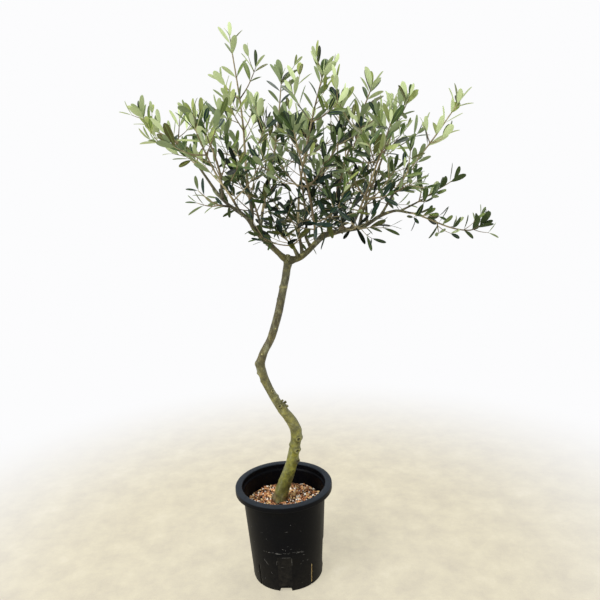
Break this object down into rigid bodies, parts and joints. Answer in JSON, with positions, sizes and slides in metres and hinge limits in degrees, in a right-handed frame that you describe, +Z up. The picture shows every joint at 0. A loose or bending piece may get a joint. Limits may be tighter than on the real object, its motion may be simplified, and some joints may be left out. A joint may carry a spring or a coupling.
{
  "type": "potted olive tree",
  "caption": "Young olive tree with a crooked trunk that forks into two leaning boughs under a loose, airy crown, growing in a tall round black nursery pot filled with grit.",
  "frame": {"origin": "middle of the pot's flat underside, on the level that it stands on", "axes": "+Z up, +X to the right as the plant is seen from its front, towards the longer bough, and +Y to the back"},
  "size_m": [1.0374, 0.6415, 1.6588],
  "materials": {
    "pot_plastic": "injection-moulded black polypropylene, satin, with scuffs and dust",
    "grit": "loose brown, tan and cream grit, 3 to 8 mm",
    "bark": "smooth green-grey young bark with fine grain, knots and pruning scars",
    "young_bark": "smooth grey-brown to green young bark",
    "foliage": "narrow leathery leaves, grey-green above and silver-grey below, on thin twigs"
  },
  "bodies": {
    "root": {"pot": "pot_plastic", "soil": "grit", "trunk": "bark", "bough_left": "young_bark", "bough_right": "young_bark", "bough_back_left": "young_bark", "bough_upper_left": "young_bark", "bough_top_left": "young_bark", "bough_front_left": "young_bark", "bough_low_left": "young_bark", "bough_left_middle": "young_bark", "bough_upper_middle": "young_bark", "bough_back_middle": "young_bark", "bough_low_middle": "young_bark", "bough_low_back": "young_bark", "bough_front_middle": "young_bark", "bough_top_right": "young_bark", "bough_low_right": "young_bark", "bough_inner_right": "young_bark", "bough_front_right": "young_bark", "bough_right_upper": "young_bark", "bough_back_right": "young_bark", "bough_right_shoot": "young_bark", "bough_right_middle": "young_bark", "foliage_left_lobe": "foliage", "foliage_back_left": "foliage", "foliage_upper_left": "foliage", "foliage_top_left": "foliage", "foliage_front_left": "foliage", "foliage_low_left": "foliage", "foliage_left_middle": "foliage", "foliage_upper_middle": "foliage", "foliage_back_middle": "foliage", "foliage_low_middle": "foliage", "foliage_low_back": "foliage", "foliage_front_middle": "foliage", "foliage_top_right": "foliage", "foliage_low_right": "foliage", "foliage_inner_right": "foliage", "foliage_front_right": "foliage", "foliage_right_upper": "foliage", "foliage_back_right": "foliage", "foliage_right_shoot": "foliage", "foliage_right_middle": "foliage", "foliage_right_tip": "foliage"}
  },
  "joints": []
}
